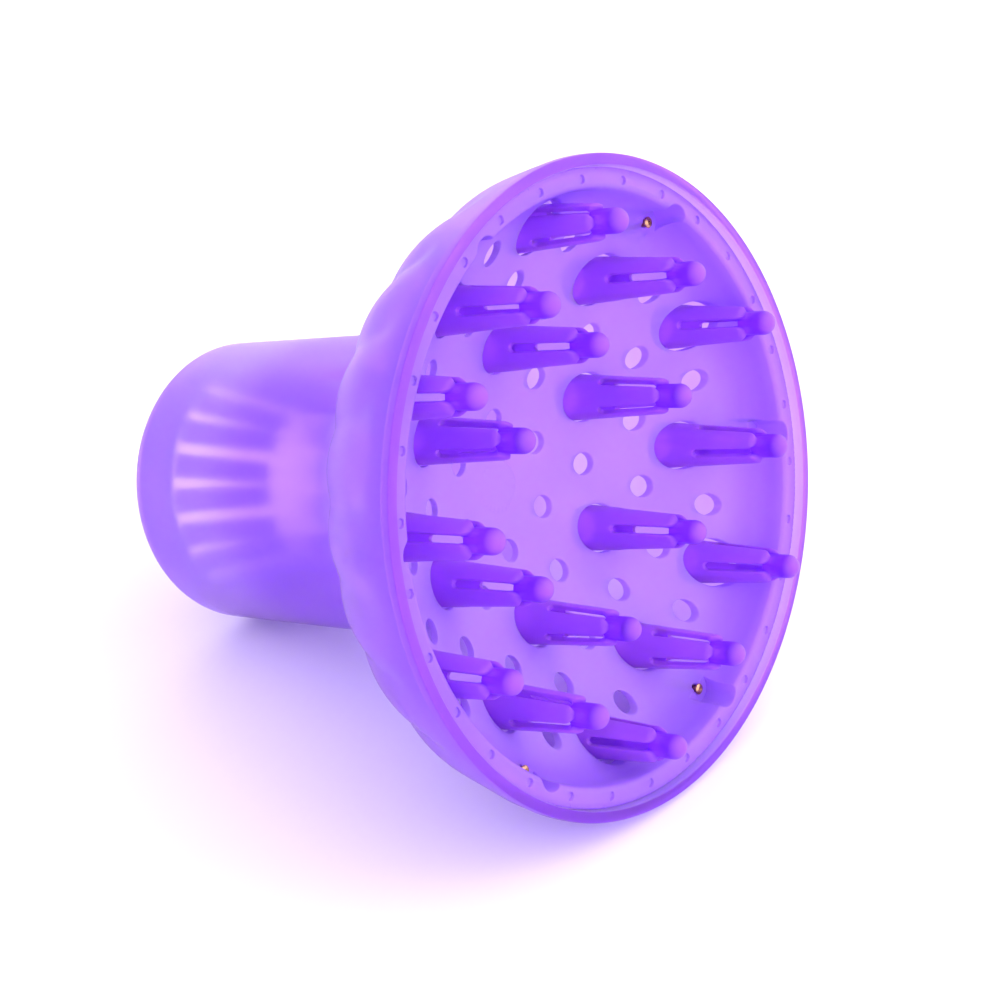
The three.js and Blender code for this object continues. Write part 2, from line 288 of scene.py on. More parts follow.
# ---- meshes -------------------------------------------------------------------------------------
def make_object(name, vertices, faces, material):
    mesh = bpy.data.meshes.new(name)
    mesh.from_pydata([tuple(v) for v in vertices], [], [tuple(f) for f in faces])
    mesh.validate()
    mesh.materials.append(material)
    mesh.shade_smooth()
    mesh.set_sharp_from_angle(angle=math.radians(40))
    piece = bpy.data.objects.new(name, mesh)
    bpy.context.scene.collection.objects.link(piece)
    return piece


class Builder:
    """Gathers vertices and faces for a mesh. Points that land together are one vertex."""

    def __init__(self):
        self.vertices = []
        self.index = {}
        self.faces = []

    def vertex(self, *position):
        position = tuple(round(float(value), 4) for value in position)
        if position not in self.index:
            self.index[position] = len(self.vertices)
            self.vertices.append(position)
        return self.index[position]

    def face(self, *corners):
        corners = list(dict.fromkeys(corners))
        if len(corners) > 2:
            self.faces.append(corners)

    def make(self, name, material):
        return make_object(name, self.vertices, self.faces, material)


def turned(name, outline, segments, material, shape=None):
    """An outline turned about Z: a ring if it keeps off the axis, a solid if it starts and ends on
    it. shape(r, z, angle) may move a point's radius."""
    closed = outline[0][0] > 0 and outline[-1][0] > 0
    vertices, faces, rows = [], [], []
    for r, z in outline:
        if r <= 0:
            vertices.append((0, 0, z))
            rows.append([len(vertices) - 1] * segments)
            continue
        start = len(vertices)
        for k in range(segments):
            angle = 2 * math.pi * k / segments
            radius = shape(r, z, angle) if shape else r
            vertices.append((*polar(radius, angle), z))
        rows.append(list(range(start, start + segments)))
    count = len(rows) if closed else len(rows) - 1
    for i in range(count):
        low, high = rows[i], rows[(i + 1) % len(rows)]
        for k in range(segments):
            n = (k + 1) % segments
            faces.append(list(dict.fromkeys((low[k], high[k], high[n], low[n]))))
    return make_object(name, vertices, faces, material)


def joined(pieces):
    """One object from several that don't touch."""
    made = bmesh.new()
    for piece in pieces:
        made.from_mesh(piece.data)
    first = pieces[0]
    made.to_mesh(first.data)
    made.free()
    for piece in pieces[1:]:
        bpy.data.objects.remove(piece)
    return first


def copied(master, name):
    piece = bpy.data.objects.new(name, master.data.copy())
    bpy.context.scene.collection.objects.link(piece)
    return piece


def apply_modifiers(piece):
    bpy.context.view_layer.update()
    graph = bpy.context.evaluated_depsgraph_get()
    mesh = bpy.data.meshes.new_from_object(piece.evaluated_get(graph), depsgraph=graph)
    piece.modifiers.clear()
    piece.data = mesh


def combine(piece, cutter, operation):
    """Joins or cuts piece with cutter, and removes the cutter."""
    change = piece.modifiers.new(operation.lower(), "BOOLEAN")
    change.operation = operation
    change.solver = "EXACT"
    change.object = cutter
    apply_modifiers(piece)
    bpy.data.objects.remove(cutter)


def soften(piece, width):
    """Rounds the piece's sharp edges."""
    bevel = piece.modifiers.new("soften", "BEVEL")
    bevel.width = width
    bevel.segments = 2
    bevel.limit_method = "ANGLE"
    bevel.angle_limit = math.radians(35)
    apply_modifiers(piece)
    piece.data.shade_smooth()
    piece.data.set_sharp_from_angle(angle=math.radians(50))


def edge_drop(distance, radius=EDGE_ROUND):
    """How far a rounded edge has dropped at a distance from the wall it leads into."""
    inwards = radius - np.clip(distance, 0, radius)
    return radius - np.sqrt(radius ** 2 - inwards ** 2)


def mark_depth_and_painted_light(piece, depth):
    """Stores each vertex's depth of colour, with painted shade and painted light mixed in, from its radius
    and its height, for the material.
    """
    values = [depth(math.hypot(*vertex.co.xy), vertex.co.z) for vertex in piece.data.vertices]
    stored = piece.data.attributes.new(COLOR_DEPTH_AND_PAINTED_LIGHT, "FLOAT", "POINT")
    stored.data.foreach_set("value", values)


def finish_piece(piece, body, slot, *nodes, place=Matrix.Identity(4)):
    """Puts a piece made along the axis into the frame, on its body, in place of its CAD nodes."""
    piece.data.transform(AXIS @ place)
    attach(piece, body)
    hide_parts(*nodes)


# ---- materials ----------------------------------------------------------------------------------
def set_inputs(node, values):
    for socket, value in values.items():
        node.inputs[socket].default_value = value


def new_material(name, values):
    """Makes a material with these values on its shader. Returns it, its node tree and the shader."""
    material = bpy.data.materials.new(name)
    material.use_nodes = True
    shader = material.node_tree.nodes["Principled BSDF"]
    set_inputs(shader, values)
    return material, material.node_tree, shader


def add_noise(tree, scale, detail=2):
    """Noise over a piece in its own coordinates, finer with a larger scale."""
    place = tree.nodes.new("ShaderNodeTexCoord")
    noise = tree.nodes.new("ShaderNodeTexNoise")
    set_inputs(noise, {"Scale": scale, "Detail": detail})
    tree.links.new(place.outputs["Object"], noise.inputs["Vector"])
    return noise.outputs["Fac"]


def add_ramp(tree, factor, low, high, start=0, end=1):
    """A colour that goes from low to high while factor goes from start to end."""
    ramp = tree.nodes.new("ShaderNodeValToRGB")
    for element, position, color in zip(ramp.color_ramp.elements, (start, end), (low, high)):
        element.position = position
        element.color = (*color, 1)
    tree.links.new(factor, ramp.inputs["Fac"])
    return ramp.outputs["Color"]


def add_range(tree, value, low, high, start=0):
    """A number that goes from low to high while value goes from start to 1."""
    scaled = tree.nodes.new("ShaderNodeMapRange")
    set_inputs(scaled, {"From Min": start, "To Min": low, "To Max": high})
    tree.links.new(value, scaled.inputs["Value"])
    return scaled.outputs["Result"]


def plastic(name, color, deep_and_shade_color, roughness, transmission):
    """Translucent moulded plastic. Its colour is a little clouded, and goes over to a deeper colour with
    a piece's stored depth of colour, which also carries painted shade and painted light; its surface has a
    fine satin grain."""
    material, tree, shader = new_material(name, {
        "IOR": 1.22, "Transmission Weight": transmission, "Subsurface Weight": 0.4,
        "Subsurface Radius": (0.6, 0.35, 1.0), "Subsurface Scale": 0.004,
    })
    clouded = (0.92 * color[0], 0.92 * color[1], color[2])
    tone = add_ramp(tree, add_noise(tree, 45, 3), clouded, color, 0.3, 0.7)
    # The stored attribute holds depth of colour with painted shade and painted light; the colour deepens by
    # it.
    depth = tree.nodes.new("ShaderNodeAttribute")
    depth.attribute_name = COLOR_DEPTH_AND_PAINTED_LIGHT
    deepen_and_shade = tree.nodes.new("ShaderNodeMix")
    deepen_and_shade.data_type = "RGBA"
    deepen_and_shade.inputs["B"].default_value = (*deep_and_shade_color, 1)
    tree.links.new(depth.outputs["Fac"], deepen_and_shade.inputs["Factor"])
    tree.links.new(tone, deepen_and_shade.inputs["A"])
    tree.links.new(deepen_and_shade.outputs["Result"], shader.inputs["Base Color"])

    grain = add_noise(tree, 2600, 4)
    satin = add_range(tree, grain, roughness - 0.05, roughness + 0.05)
    tree.links.new(satin, shader.inputs["Roughness"])
    bump = tree.nodes.new("ShaderNodeBump")
    set_inputs(bump, {"Strength": 0.2, "Distance": 0.00008})
    tree.links.new(grain, bump.inputs["Height"])
    tree.links.new(bump.outputs["Normal"], shader.inputs["Normal"])
    return material


def metal(name, color):
    """Metal that is darker and smoother in small patches."""
    material, tree, shader = new_material(name, {"Metallic": 1.0})
    wear = add_noise(tree, 800)
    tone = add_ramp(tree, wear, [0.6 * c for c in color], color)
    tree.links.new(tone, shader.inputs["Base Color"])
    tree.links.new(add_range(tree, wear, 0.18, 0.4), shader.inputs["Roughness"])
    return material


# The shell's pale colour is painted light on its inside, which is painted paler than its outside; the
# outside is deepened by the stored attribute.
SHELL = plastic("shell_plastic", (0.93, 0.82, 0.99), (0.40, 0.075, 0.985), 0.34, 0.78)
# The plate's deeper colour is used only for painted shade at its flange.
PLATE = plastic("plate_plastic", (0.62, 0.35, 0.99), (0.42, 0.14, 0.985), 0.38, 0.6)
PRONG = plastic("prong_plastic", (0.60, 0.19, 0.99), (0.30, 0.035, 0.99), 0.36, 0.65)
SLEEVE = plastic("sleeve_plastic", (0.46, 0.20, 0.97), (0.4, 0.2, 0.96), 0.5, 0.3)
BRASS = metal("screw_brass", (0.62, 0.34, 0.20))


# ---- bell and neck ------------------------------------------------------------------------------
def rim_outline():
    """The rim's front and side in section."""
    corner = 0.2
    return [
        (RIM_INNER, -SMALL_ROUND), (RIM_INNER + SMALL_ROUND, 0), (RIM_RADIUS - RIM_ROUND, 0),
        (RIM_RADIUS - corner, -corner), (RIM_RADIUS, -RIM_ROUND),
        (RIM_RADIUS, -RIM_HEIGHT + SMALL_ROUND), (RIM_RADIUS - RIM_ROUND / 2, -RIM_HEIGHT),
    ]


def mouth_outline():
    """The lip round the neck's mouth in section, up to the neck's inner wall."""
    outer_round, inner_round = 0.5, 0.4
    top = NECK_END + LIP_THICKNESS
    wall = NECK_END_RADIUS - WALL
    return [
        (MOUTH_RADIUS + outer_round, NECK_END), (MOUTH_RADIUS, NECK_END + outer_round),
        (MOUTH_RADIUS, top - inner_round), (MOUTH_RADIUS + inner_round, top),
        (wall - LIP_FILLET, top), (wall, top + LIP_FILLET),
    ]


def inner_outline(start):
    """The shell's inside in section, from the neck's lip to the ledge that carries the plate."""
    ledge = PLATE_TOP - PLATE_THICKNESS - CLEARANCE
    inside = [p for p in bell_line(WALL) if p[1] < STRAIGHT_END]
    line = spread([start, *reversed(inside)], 3.0)[1:]
    return line + [(inside[0][0], ledge), (RIM_INNER, ledge)]


def lobed(r, z, angle):
    """Shallow lobes fan out over the bell, meet in narrow valleys and fade at rim and neck."""
    crest = math.sqrt(math.sin(LOBES / 2 * (angle - LOBE_VALLEY)) ** 2 + VALLEY_ROUND)
    fade = smooth_step(*LOBES_FADE_IN, -z) * (1 - smooth_step(*LOBES_FADE_OUT, -z))
    return r - LOBE_DEPTH * fade * max(0.0, 1 - crest)


def is_outside(r, z):
    """Whether a point of the shell's surface, lobed or not, is on its outside."""
    divide = bell_line(0.8 * WALL)
    if z < divide[-1][1]:
        return r > NECK_END_RADIUS - 0.5 * WALL
    return z < height_on(divide, r) or r > RIM_INNER


def shell_radius(r, z, angle):
    return INSCRIBED * (lobed(r, z, angle) if is_outside(r, z) else r)


def shell_depth_and_painted_light(r, z):
    """The shell is deepest in colour at its rim and its lip. Its outside is darker over the bell near the
    rim and along the throat, and its inside along the throat, as painted shade; its inside is palest, as
    painted light.
    """
    rim = 1 - smooth_step(*RIM_CHANGE, -z)
    lip = LIP_DEPTH * smooth_step(-NECK_END - LIP_CHANGE, -NECK_END, -z)
    # Painted shade: bell darkens the outside towards the rim, throat darkens a band along the neck.
    bell = 1 - smooth_step(*BELL_PAINTED_SHADE, -z)
    throat = smooth_step(*THROAT_PAINTED_SHADE_START, -z) * (1 - smooth_step(*THROAT_PAINTED_SHADE_END, -z))
    if is_outside(r, z):
        # depth holds the outside's depth of colour with its painted shade.
        depth = OUTSIDE_DEPTH_AND_PAINTED_SHADE
        return max(depth["rim"] * rim, lip, depth["neck"] + depth["throat"] * throat + depth["bell"] * bell)
    return max(INSIDE_DEPTH_AND_PAINTED_SHADE["rim"] * rim, lip, INSIDE_DEPTH_AND_PAINTED_SHADE["throat"] * throat)


def screw_boss(angle):
    """A boss on the bell's inner wall, with a blind hole for its screw and its foot in the wall."""
    hole = SHANK_RADIUS + CLEARANCE
    bottom = SCREW_SEAT - SCREW_LENGTH - BOSS_SPARE
    top = CUP_END - CLEARANCE
    boss = turned("boss", [
        (0, bottom), (hole, bottom), (hole, top), (BOSS_RADIUS - BOSS_ROUND, top),
        (BOSS_RADIUS, top - BOSS_ROUND), (BOSS_RADIUS, BOSS_FOOT), (0, BOSS_FOOT),
    ], 40, SHELL)
    boss.data.transform(Matrix.Translation((*polar(SCREW_RING, angle), 0)))
    wall_line = bell_line(0.5 * WALL)
    for vertex in boss.data.vertices:
        if vertex.co.z <= BOSS_FOOT:
            vertex.co.z = height_on(wall_line, math.hypot(vertex.co.x, vertex.co.y))
    return boss


def make_shell():
    mouth = mouth_outline()
    outline = rim_outline() + spread(outer_line(), 2.0) + mouth + inner_outline(mouth[-1])
    shell = turned("shell", outline, SHELL_SEGMENTS, SHELL, shell_radius)
    combine(shell, joined([screw_boss(angle) for angle in six_angles(SCREW_TURN)]), "UNION")
    mark_depth_and_painted_light(shell, shell_depth_and_painted_light)
    finish_piece(shell, "diffuser", "shell", "bell_shell")


# ---- plate --------------------------------------------------------------------------------------
def plate_section(drop):
    """The plate's front face in section, or its rear face with drop equal to its thickness."""
    edge = math.asin(DISH_EDGE / DISH_ARC)
    bend = (DISH_EDGE * (1 - WALL_ARC / DISH_ARC), DISH_CENTRE - (DISH_ARC - WALL_ARC) * math.cos(edge))
    dish = arc((0, DISH_CENTRE), DISH_ARC + drop, QUARTER, QUARTER - edge, 60)
    side = arc(bend, WALL_ARC + drop, QUARTER - edge, QUARTER - WALL_TOP, 14)[1:]
    level = PLATE_TOP - drop
    corner = side[-1][0]
    turn = [(corner + FLANGE_ROUND * (1 - math.cos(a)), level - FLANGE_ROUND * (1 - math.sin(a)))
            for a in np.linspace(0.1, QUARTER, 6)]
    end = [(FLANGE_OUTER - SMALL_ROUND, level), (FLANGE_OUTER, level - (SMALL_ROUND if drop == 0 else 0))]
    return [(abs(r), z) for r, z in dish] + side + turn + end


def six_circles(ring, first, radius):
    """(x, y, radius) of six holes round the plate."""
    return [(*polar(ring, angle), radius) for angle in six_angles(first)]


def plate_holes():
    """(x, y, radius) of every hole that goes through the plate."""
    holes = [hole for ring, angles in VENT_RINGS for first in angles
             for hole in six_circles(ring, first, VENT_RADIUS)]
    for _, ring, first, _ in PRONG_RINGS:
        holes += six_circles(ring, first, PRONG_SEAT + CLEARANCE)
    holes += six_circles(SCREW_RING, SCREW_TURN, SHANK_RADIUS + CLEARANCE)
    return np.array(holes)


def plate_dimples():
    """(x, y, radius) of the shallow round marks in the flange."""
    angles = [PATTERN_TURN + 2 * math.pi * k / DIMPLES for k in range(DIMPLES)]
    return np.array([(*polar(DIMPLE_RING, angle), DIMPLE_RADIUS) for angle in angles])


def gaps_to(points, circles):
    """Distances from each point to each circle, negative inside it."""
    gaps = np.hypot(points[:, None, 0] - circles[None, :, 0], points[:, None, 1] - circles[None, :, 1])
    return gaps - circles[None, :, 2]


def clearance(points, circles):
    """Distance from each point to the nearest circle, negative inside it."""
    return gaps_to(points, circles).min(axis=1)


def circle(centre, radius, step):
    count = max(20, int(2 * math.pi * radius / step))
    angles = [2 * math.pi * k / count for k in range(count)]
    return [(centre[0] + radius * math.cos(a), centre[1] + radius * math.sin(a)) for a in angles]


def plate_radii():
    """Radii of the rings of points that follow the plate's two faces."""
    sections = spread(plate_section(0), SECTION_STEP) + spread(plate_section(PLATE_THICKNESS), SECTION_STEP)
    gate = [GATE_RADIUS + k * GATE_HALF / 2 for k in (-2, -1, 0, 1, 2)]
    radii = sorted([r for r, _ in sections if r > 0.5] + gate)
    kept = [radii[0]]
    for r in radii[1:]:
        if r - kept[-1] > LEAST_GAP and FLANGE_OUTER - r > LEAST_GAP:
            kept.append(r)
    return kept


def plate_loops(holes, pockets, cups, dimples):
    """(x, y, radius) of the circles that the plate's edges and their roundings follow."""
    steps = [(holes, (0, 0.1, EDGE_ROUND)), (pockets, (-EDGE_ROUND, 0, 0.1, EDGE_ROUND)),
             (dimples, (-DIMPLE_SLOPE, 0)), (cups, (0,))]
    return np.array([(x, y, r + grow) for circles, grown in steps for x, y, r in circles for grow in grown])


def plate_plan(loops):
    """Triangles that cover the plate seen along its axis. Each loop is a circle in their edges."""
    points, edges = [], []

    def add_loop(loop):
        start = len(points)
        points.extend(loop)
        edges.extend((start + k, start + (k + 1) % len(loop)) for k in range(len(loop)))

    for x, y, radius in loops:
        add_loop(circle((x, y), radius, LOOP_STEP))
    for radius in plate_radii():
        step = PLAN_STEP if radius < DISH_EDGE else 2 * math.pi * radius / FLANGE_POINTS
        ring = np.array(circle((0, 0), radius, step))
        if DISH_EDGE < radius < FLANGE_INNER + FLANGE_ROUND + 1:
            add_loop([tuple(p) for p in ring])
            continue
        free = np.abs(gaps_to(ring, loops)).min(axis=1) > LOOP_STEP / 2
        points.extend(tuple(p) for p in ring[free])
    points.append((0.0, 0.0))
    add_loop(circle((0, 0), FLANGE_OUTER, OUTLINE_STEP))
    plan, _, triangles, *_ = delaunay_2d_cdt([Vector(p) for p in points], edges, [], 0, 1e-5)
    return np.array([tuple(p) for p in plan]), np.array([tuple(t) for t in triangles])


def front_heights(plan, holes, pockets, dimples):
    """Heights of the plate's front face, and of the floors of its screw pockets."""
    radius = np.hypot(*plan.T)
    front = height_on(plate_section(0), radius)
    front -= GATE_DEPTH * np.clip(1 - np.abs(radius - GATE_RADIUS) / GATE_HALF, 0, 1)
    front -= DIMPLE_DEPTH * np.clip(-clearance(plan, dimples) / DIMPLE_SLOPE, 0, 1)
    floor = np.minimum(front, SCREW_SEAT)
    hole_edge = edge_drop(clearance(plan, holes))
    pocket_edge = np.minimum(edge_drop(clearance(plan, pockets)), front - floor)
    return front - np.maximum(hole_edge, pocket_edge), floor - hole_edge


def rear_heights(plan):
    """Heights of the plate's rear face, and of the ends of its screw cups, inside the bell."""
    radius = np.hypot(*plan.T)
    rear = height_on(plate_section(PLATE_THICKNESS), radius)
    room = [(r * INSCRIBED - CLEARANCE, z) for r, z in bell_line(WALL)]
    return rear, np.minimum(np.maximum(CUP_END, height_on(room, radius)), rear)


class Sheet(Builder):
    """A closed sheet made from plan triangles, each with its own front and rear heights."""

    def __init__(self, plan):
        super().__init__()
        self.plan = plan
        self.sides = {}

    def add(self, triangle, front, rear):
        tops = [self.vertex(*self.plan[p], front[p]) for p in triangle]
        lows = [self.vertex(*self.plan[p], rear[p]) for p in triangle]
        self.face(*tops)
        self.face(*lows[::-1])
        for i, j in ((0, 1), (1, 2), (2, 0)):
            a, b = triangle[i], triangle[j]
            heights = (front[a] + front[b], rear[a] + rear[b])
            self.sides[a, b] = ((tops[i], tops[j], lows[i], lows[j]), heights)

    def close(self):
        """Adds the walls where the sheet ends or where neighbouring triangles differ in height."""
        for (start, end), (corners, heights) in self.sides.items():
            top_a, top_b, low_a, low_b = corners
            if (end, start) not in self.sides:
                self.face(top_a, low_a, low_b, top_b)
                continue
            other, other_heights = self.sides[end, start]
            if heights[0] > other_heights[0]:
                self.face(top_a, other[1], other[0], top_b)
            if heights[1] > other_heights[1]:
                self.face(low_b, other[2], other[3], low_a)


def plate_painted_shade(radius, _):
    """Painted shade: the plate is darker where its dish turns up into its flange."""
    return FLANGE_PAINTED_SHADE * smooth_step(DISH_EDGE - 4, DISH_EDGE + 2, radius)


def make_plate():
    holes, dimples = plate_holes(), plate_dimples()
    pockets = np.array(six_circles(SCREW_RING, SCREW_TURN, POCKET_RADIUS))
    cups = np.array(six_circles(SCREW_RING, SCREW_TURN, CUP_RADIUS))
    plan, triangles = plate_plan(plate_loops(holes, pockets, cups, dimples))
    middle = plan[triangles].mean(axis=1)
    solid = (clearance(middle, holes) > 0) & (np.hypot(*middle.T) < FLANGE_OUTER)
    front, pocket_floor = front_heights(plan, holes, pockets, dimples)
    rear, cup_end = rear_heights(plan)

    sheet = Sheet(plan)
    in_pocket = clearance(middle, pockets) < 0
    in_cup = clearance(middle, cups) < 0
    for k in np.flatnonzero(solid):
        sheet.add(triangles[k], pocket_floor if in_pocket[k] else front, cup_end if in_cup[k] else rear)
    sheet.close()
    plate = sheet.make("plate", PLATE)
    mark_depth_and_painted_light(plate, plate_painted_shade)
    finish_piece(plate, "diffuser", "plate", "diffuser_plate")


# ---- prongs -------------------------------------------------------------------------------------
def dish_height(radius):
    return DISH_CENTRE - math.sqrt(DISH_ARC ** 2 - radius ** 2)


def petal_radius(z):
    """The prong's outer radius at a height: its petals round down to the pin at their tips."""
    depth = -z - PETAL_END
    if depth < PETAL_ROUND:
        rise = max(0.0, 1 - depth / PETAL_ROUND)
        tip = PIN_RADIUS - PETAL_TUCK
        return tip + (PETAL_RADIUS - tip) * math.sqrt(1 - rise ** 2)
    return min(PETAL_RADIUS + (depth - PETAL_ROUND) * PRONG_TAPER, PRONG_SEAT)


def inner_radius(z):
    """The prong's inner radius at a height: its petals reach into the pin that they hold."""
    return PIN_RADIUS - PIN_OVERLAP if z > -PIN_LENGTH - PIN_BASE else petal_radius(z) - PRONG_WALL


def prong_rows(length):
    """Rows of points from the prong's foot to its petals' tips, each with its height and the angle
    from the middle of a slot to the petal's edge, and the angle where the petals' tips start."""
    half = SLOT_WIDTH / 2
    rear = -SLOT_LENGTH + half
    shoulder = -PETAL_END - PETAL_ROUND
    rows = [(-length + z, 0.0) for z in (0, 0.15, FOOT_ROUND)]
    rows += [(z, 0.0) for z in np.linspace(-length + 1.5, -SLOT_LENGTH - 0.4, 8)]
    slot = [(rear - half * math.cos(a), half * math.sin(a)) for a in np.linspace(0, QUARTER, 9)]
    slot += [(z, half) for z in np.linspace(rear, shoulder, 22)[1:]]
    rows += [(z, math.asin(x / petal_radius(z))) for z, x in slot]
    start = rows[-1][1]
    rows += [(shoulder + PETAL_ROUND * math.sin(a), math.pi / 4 - (math.pi / 4 - start) * math.cos(a))
             for a in np.linspace(0, QUARTER, 14)[1:]]
    return rows, start


def petal_gap(z, angle, start):
    """Distance from a point of a petal to the petal's edge."""
    half = SLOT_WIDTH / 2
    off_slot = min(angle, QUARTER - angle)
    below = max(0.0, -SLOT_LENGTH + half - z)
    gap = math.hypot(petal_radius(z) * off_slot, below) - half
    above = max(0.0, z + PETAL_END + PETAL_ROUND) / PETAL_ROUND
    if above > 0:
        off_middle = (math.pi / 4 - off_slot) / (math.pi / 4 - start)
        gap = min(gap, PETAL_ROUND * (1 - math.hypot(off_middle, above)))
    return gap


def petal_grids(builder, rows, start, turn):
    """Vertices of a petal's outer and inner faces, row by row."""
    outer, inner = [], []
    for z, edge in rows:
        angles = [edge + t * (QUARTER - 2 * edge) for t in PETAL_COLUMNS]
        foot = edge_drop(z - rows[0][0], FOOT_ROUND)
        drops = [max(edge_drop(petal_gap(z, a, start), PRONG_ROUND), foot) for a in angles]
        outer.append([builder.vertex(*polar(petal_radius(z) - drop, turn + a), z)
                      for a, drop in zip(angles, drops)])
        inner.append([builder.vertex(*polar(inner_radius(z), turn + a), z) for a in angles])
    return outer, inner


def add_petal(builder, rows, start, turn):
    """A quarter of the prong, from the middle of one slot to the middle of the next."""
    outer, inner = petal_grids(builder, rows, start, turn)
    columns = range(len(PETAL_COLUMNS) - 1)
    for low_out, high_out, low_in, high_in in zip(outer, outer[1:], inner, inner[1:]):
        for k in columns:
            builder.face(low_out[k], low_out[k + 1], high_out[k + 1], high_out[k])
            builder.face(low_in[k], high_in[k], high_in[k + 1], low_in[k + 1])
    for k in columns:
        builder.face(outer[0][k], inner[0][k], inner[0][k + 1], outer[0][k + 1])
    for r, (_, edge) in enumerate(rows[1:]):
        if edge > 0:
            builder.face(outer[r][0], outer[r + 1][0], inner[r + 1][0], inner[r][0])
            builder.face(outer[r][-1], inner[r][-1], inner[r + 1][-1], outer[r + 1][-1])


def prong_depth_and_painted_highlight(radius, z):
    """The prong is deepest in colour where its pin is solid, and palest at the dome's tip, as a painted
    highlight.
    """
    pin = smooth_step(-PIN_RADIUS, 1.0, -z) * (1 - smooth_step(PIN_LENGTH, PIN_LENGTH + 5, -z))
    return pin * (1 - smooth_step(PIN_RADIUS, PIN_RADIUS + 1.2, radius))


def make_prong(length):
    """A slotted tube of four petals, with a domed pin between their tips."""
    rows, start = prong_rows(length)
    builder = Builder()
    for quarter in range(4):
        add_petal(builder, rows, start, quarter * QUARTER)
    prong = builder.make("prong", PRONG)
    dome = [(PIN_RADIUS * math.sin(a), PIN_RADIUS * math.cos(a)) for a in np.linspace(0, QUARTER, 14)]
    foot = [(PIN_RADIUS, -PIN_LENGTH + FOOT_ROUND), (PIN_RADIUS - FOOT_ROUND, -PIN_LENGTH),
            (0, -PIN_LENGTH)]
    combine(prong, turned("pin", dome + foot, 64, PRONG), "UNION")
    mark_depth_and_painted_light(prong, prong_depth_and_painted_highlight)
    return prong


def make_prongs():
    for name, ring, first, tip in PRONG_RINGS:
        rear = dish_height(ring - PRONG_SEAT) - PLATE_THICKNESS - PRONG_TAIL
        master = make_prong(tip - rear)
        for i, angle in enumerate(six_angles(first)):
            turn = Matrix.Rotation(math.radians(PRONG_TURNS[name][i]), 4, "Z")
            place = Matrix.Translation((*polar(ring, angle), tip)) @ turn
            prong = copied(master, f"prong_{name}_{i + 1}")
            finish_piece(prong, "diffuser", "prong", f"{name}_prong_{i + 1}", place=place)
        bpy.data.objects.remove(master)


# ---- screws -------------------------------------------------------------------------------------
def recess_bar(turn):
    """One bar of the cross that is cut into a screw's head. It narrows towards its floor."""
    floor, top = HEAD_HEIGHT - RECESS_DEPTH, 3.0  # the top is well above the head
    vertices = [(x * RECESS_HALF, y * RECESS_REACH * taper, z)
                for z, taper in ((floor, RECESS_TAPER), (top, 1))
                for x, y in ((-1, -1), (1, -1), (1, 1), (-1, 1))]
    faces = [(3, 2, 1, 0), (4, 5, 6, 7), (0, 1, 5, 4), (1, 2, 6, 5), (2, 3, 7, 6), (3, 0, 4, 7)]
    bar = make_object("recess", vertices, faces, BRASS)
    bar.data.transform(Matrix.Rotation(turn, 4, "Z"))
    return bar


def make_screw():
    """A screw with a low dome for its head, which sits at z = 0."""
    dome = [(HEAD_RADIUS * math.sin(a), HEAD_HEIGHT * (1 - HEAD_DOME + HEAD_DOME * math.cos(a)))
            for a in np.linspace(0, 1.5, 10)]
    body = dome + [
        (HEAD_RADIUS, HEAD_EDGE), (HEAD_RADIUS - 0.1, CLEARANCE), (SHANK_RADIUS, CLEARANCE),
        (SHANK_RADIUS, SCREW_POINT - SCREW_LENGTH), (0, -SCREW_LENGTH),
    ]
    screw = turned("screw", body, 64, BRASS)
    for turn in (0, QUARTER):
        combine(screw, recess_bar(turn), "DIFFERENCE")
    soften(screw, SCREW_SOFTENING)
    return screw


def make_screws():
    master = make_screw()
    for i, angle in enumerate(six_angles(SCREW_TURN)):
        place = Matrix.Translation((*polar(SCREW_RING, angle), SCREW_SEAT))
        place = place @ Matrix.Rotation(angle + i, 4, "Z")
        screw = copied(master, f"screw_{i + 1}")
        finish_piece(screw, "diffuser", "screw", f"plate_screw_{i + 1}", place=place)
    bpy.data.objects.remove(master)


# ---- grip sleeve --------------------------------------------------------------------------------
def make_sleeve_ring():
    slope_end, slope_start = 1.2, 3
    outline = [
        (SLEEVE_INNER, SLEEVE_FRONT - SLEEVE_ROUND), (SLEEVE_INNER, SLEEVE_BACK + SLEEVE_BACK_ROUND),
        (SLEEVE_INNER + SLEEVE_BACK_ROUND, SLEEVE_BACK), (SLEEVE_OUTER - SLEEVE_ROUND, SLEEVE_BACK),
        (SLEEVE_OUTER, SLEEVE_BACK + SLEEVE_ROUND), (SLEEVE_OUTER, SLEEVE_FRONT - slope_start),
        (SLEEVE_OUTER - slope_end, SLEEVE_FRONT - SMALL_ROUND),
        (SLEEVE_OUTER - slope_end - SMALL_ROUND, SLEEVE_FRONT), (SLEEVE_INNER + SLEEVE_ROUND, SLEEVE_FRONT),
    ]
    middle = (SLEEVE_INNER + SLEEVE_OUTER) / 2
    scaled = [(r * INSCRIBED if r > middle else r, z) for r, z in reversed(outline)]
    ring = turned("sleeve_ring", scaled, 180, SLEEVE)
    finish_piece(ring, "diffuser", "sleeve", "grip_sleeve_ring")


def tongue_edges(y, reach):
    """A tongue's two edges at a distance from its root. Its tip's corners are rounded, and one of
    them reaches further across than the other."""
    half = math.tan(math.pi / TONGUES)
    root = TONGUE_ROOT * half - WIDE_SLOT / 2
    slim = TONGUE_TIP * half - WIDE_SLOT / 2
    full = TONGUE_TIP * half - NARROW_SLOT / 2
    t = y / reach
    tip = max(0.0, (y - reach + TIP_LENGTH) / TIP_LENGTH)
    pull = TIP_PULL * (1 - math.sqrt(max(0.0, 1 - tip ** 2)))
    return -(root + (slim - root) * t) + pull, root + (full - root) * t - pull


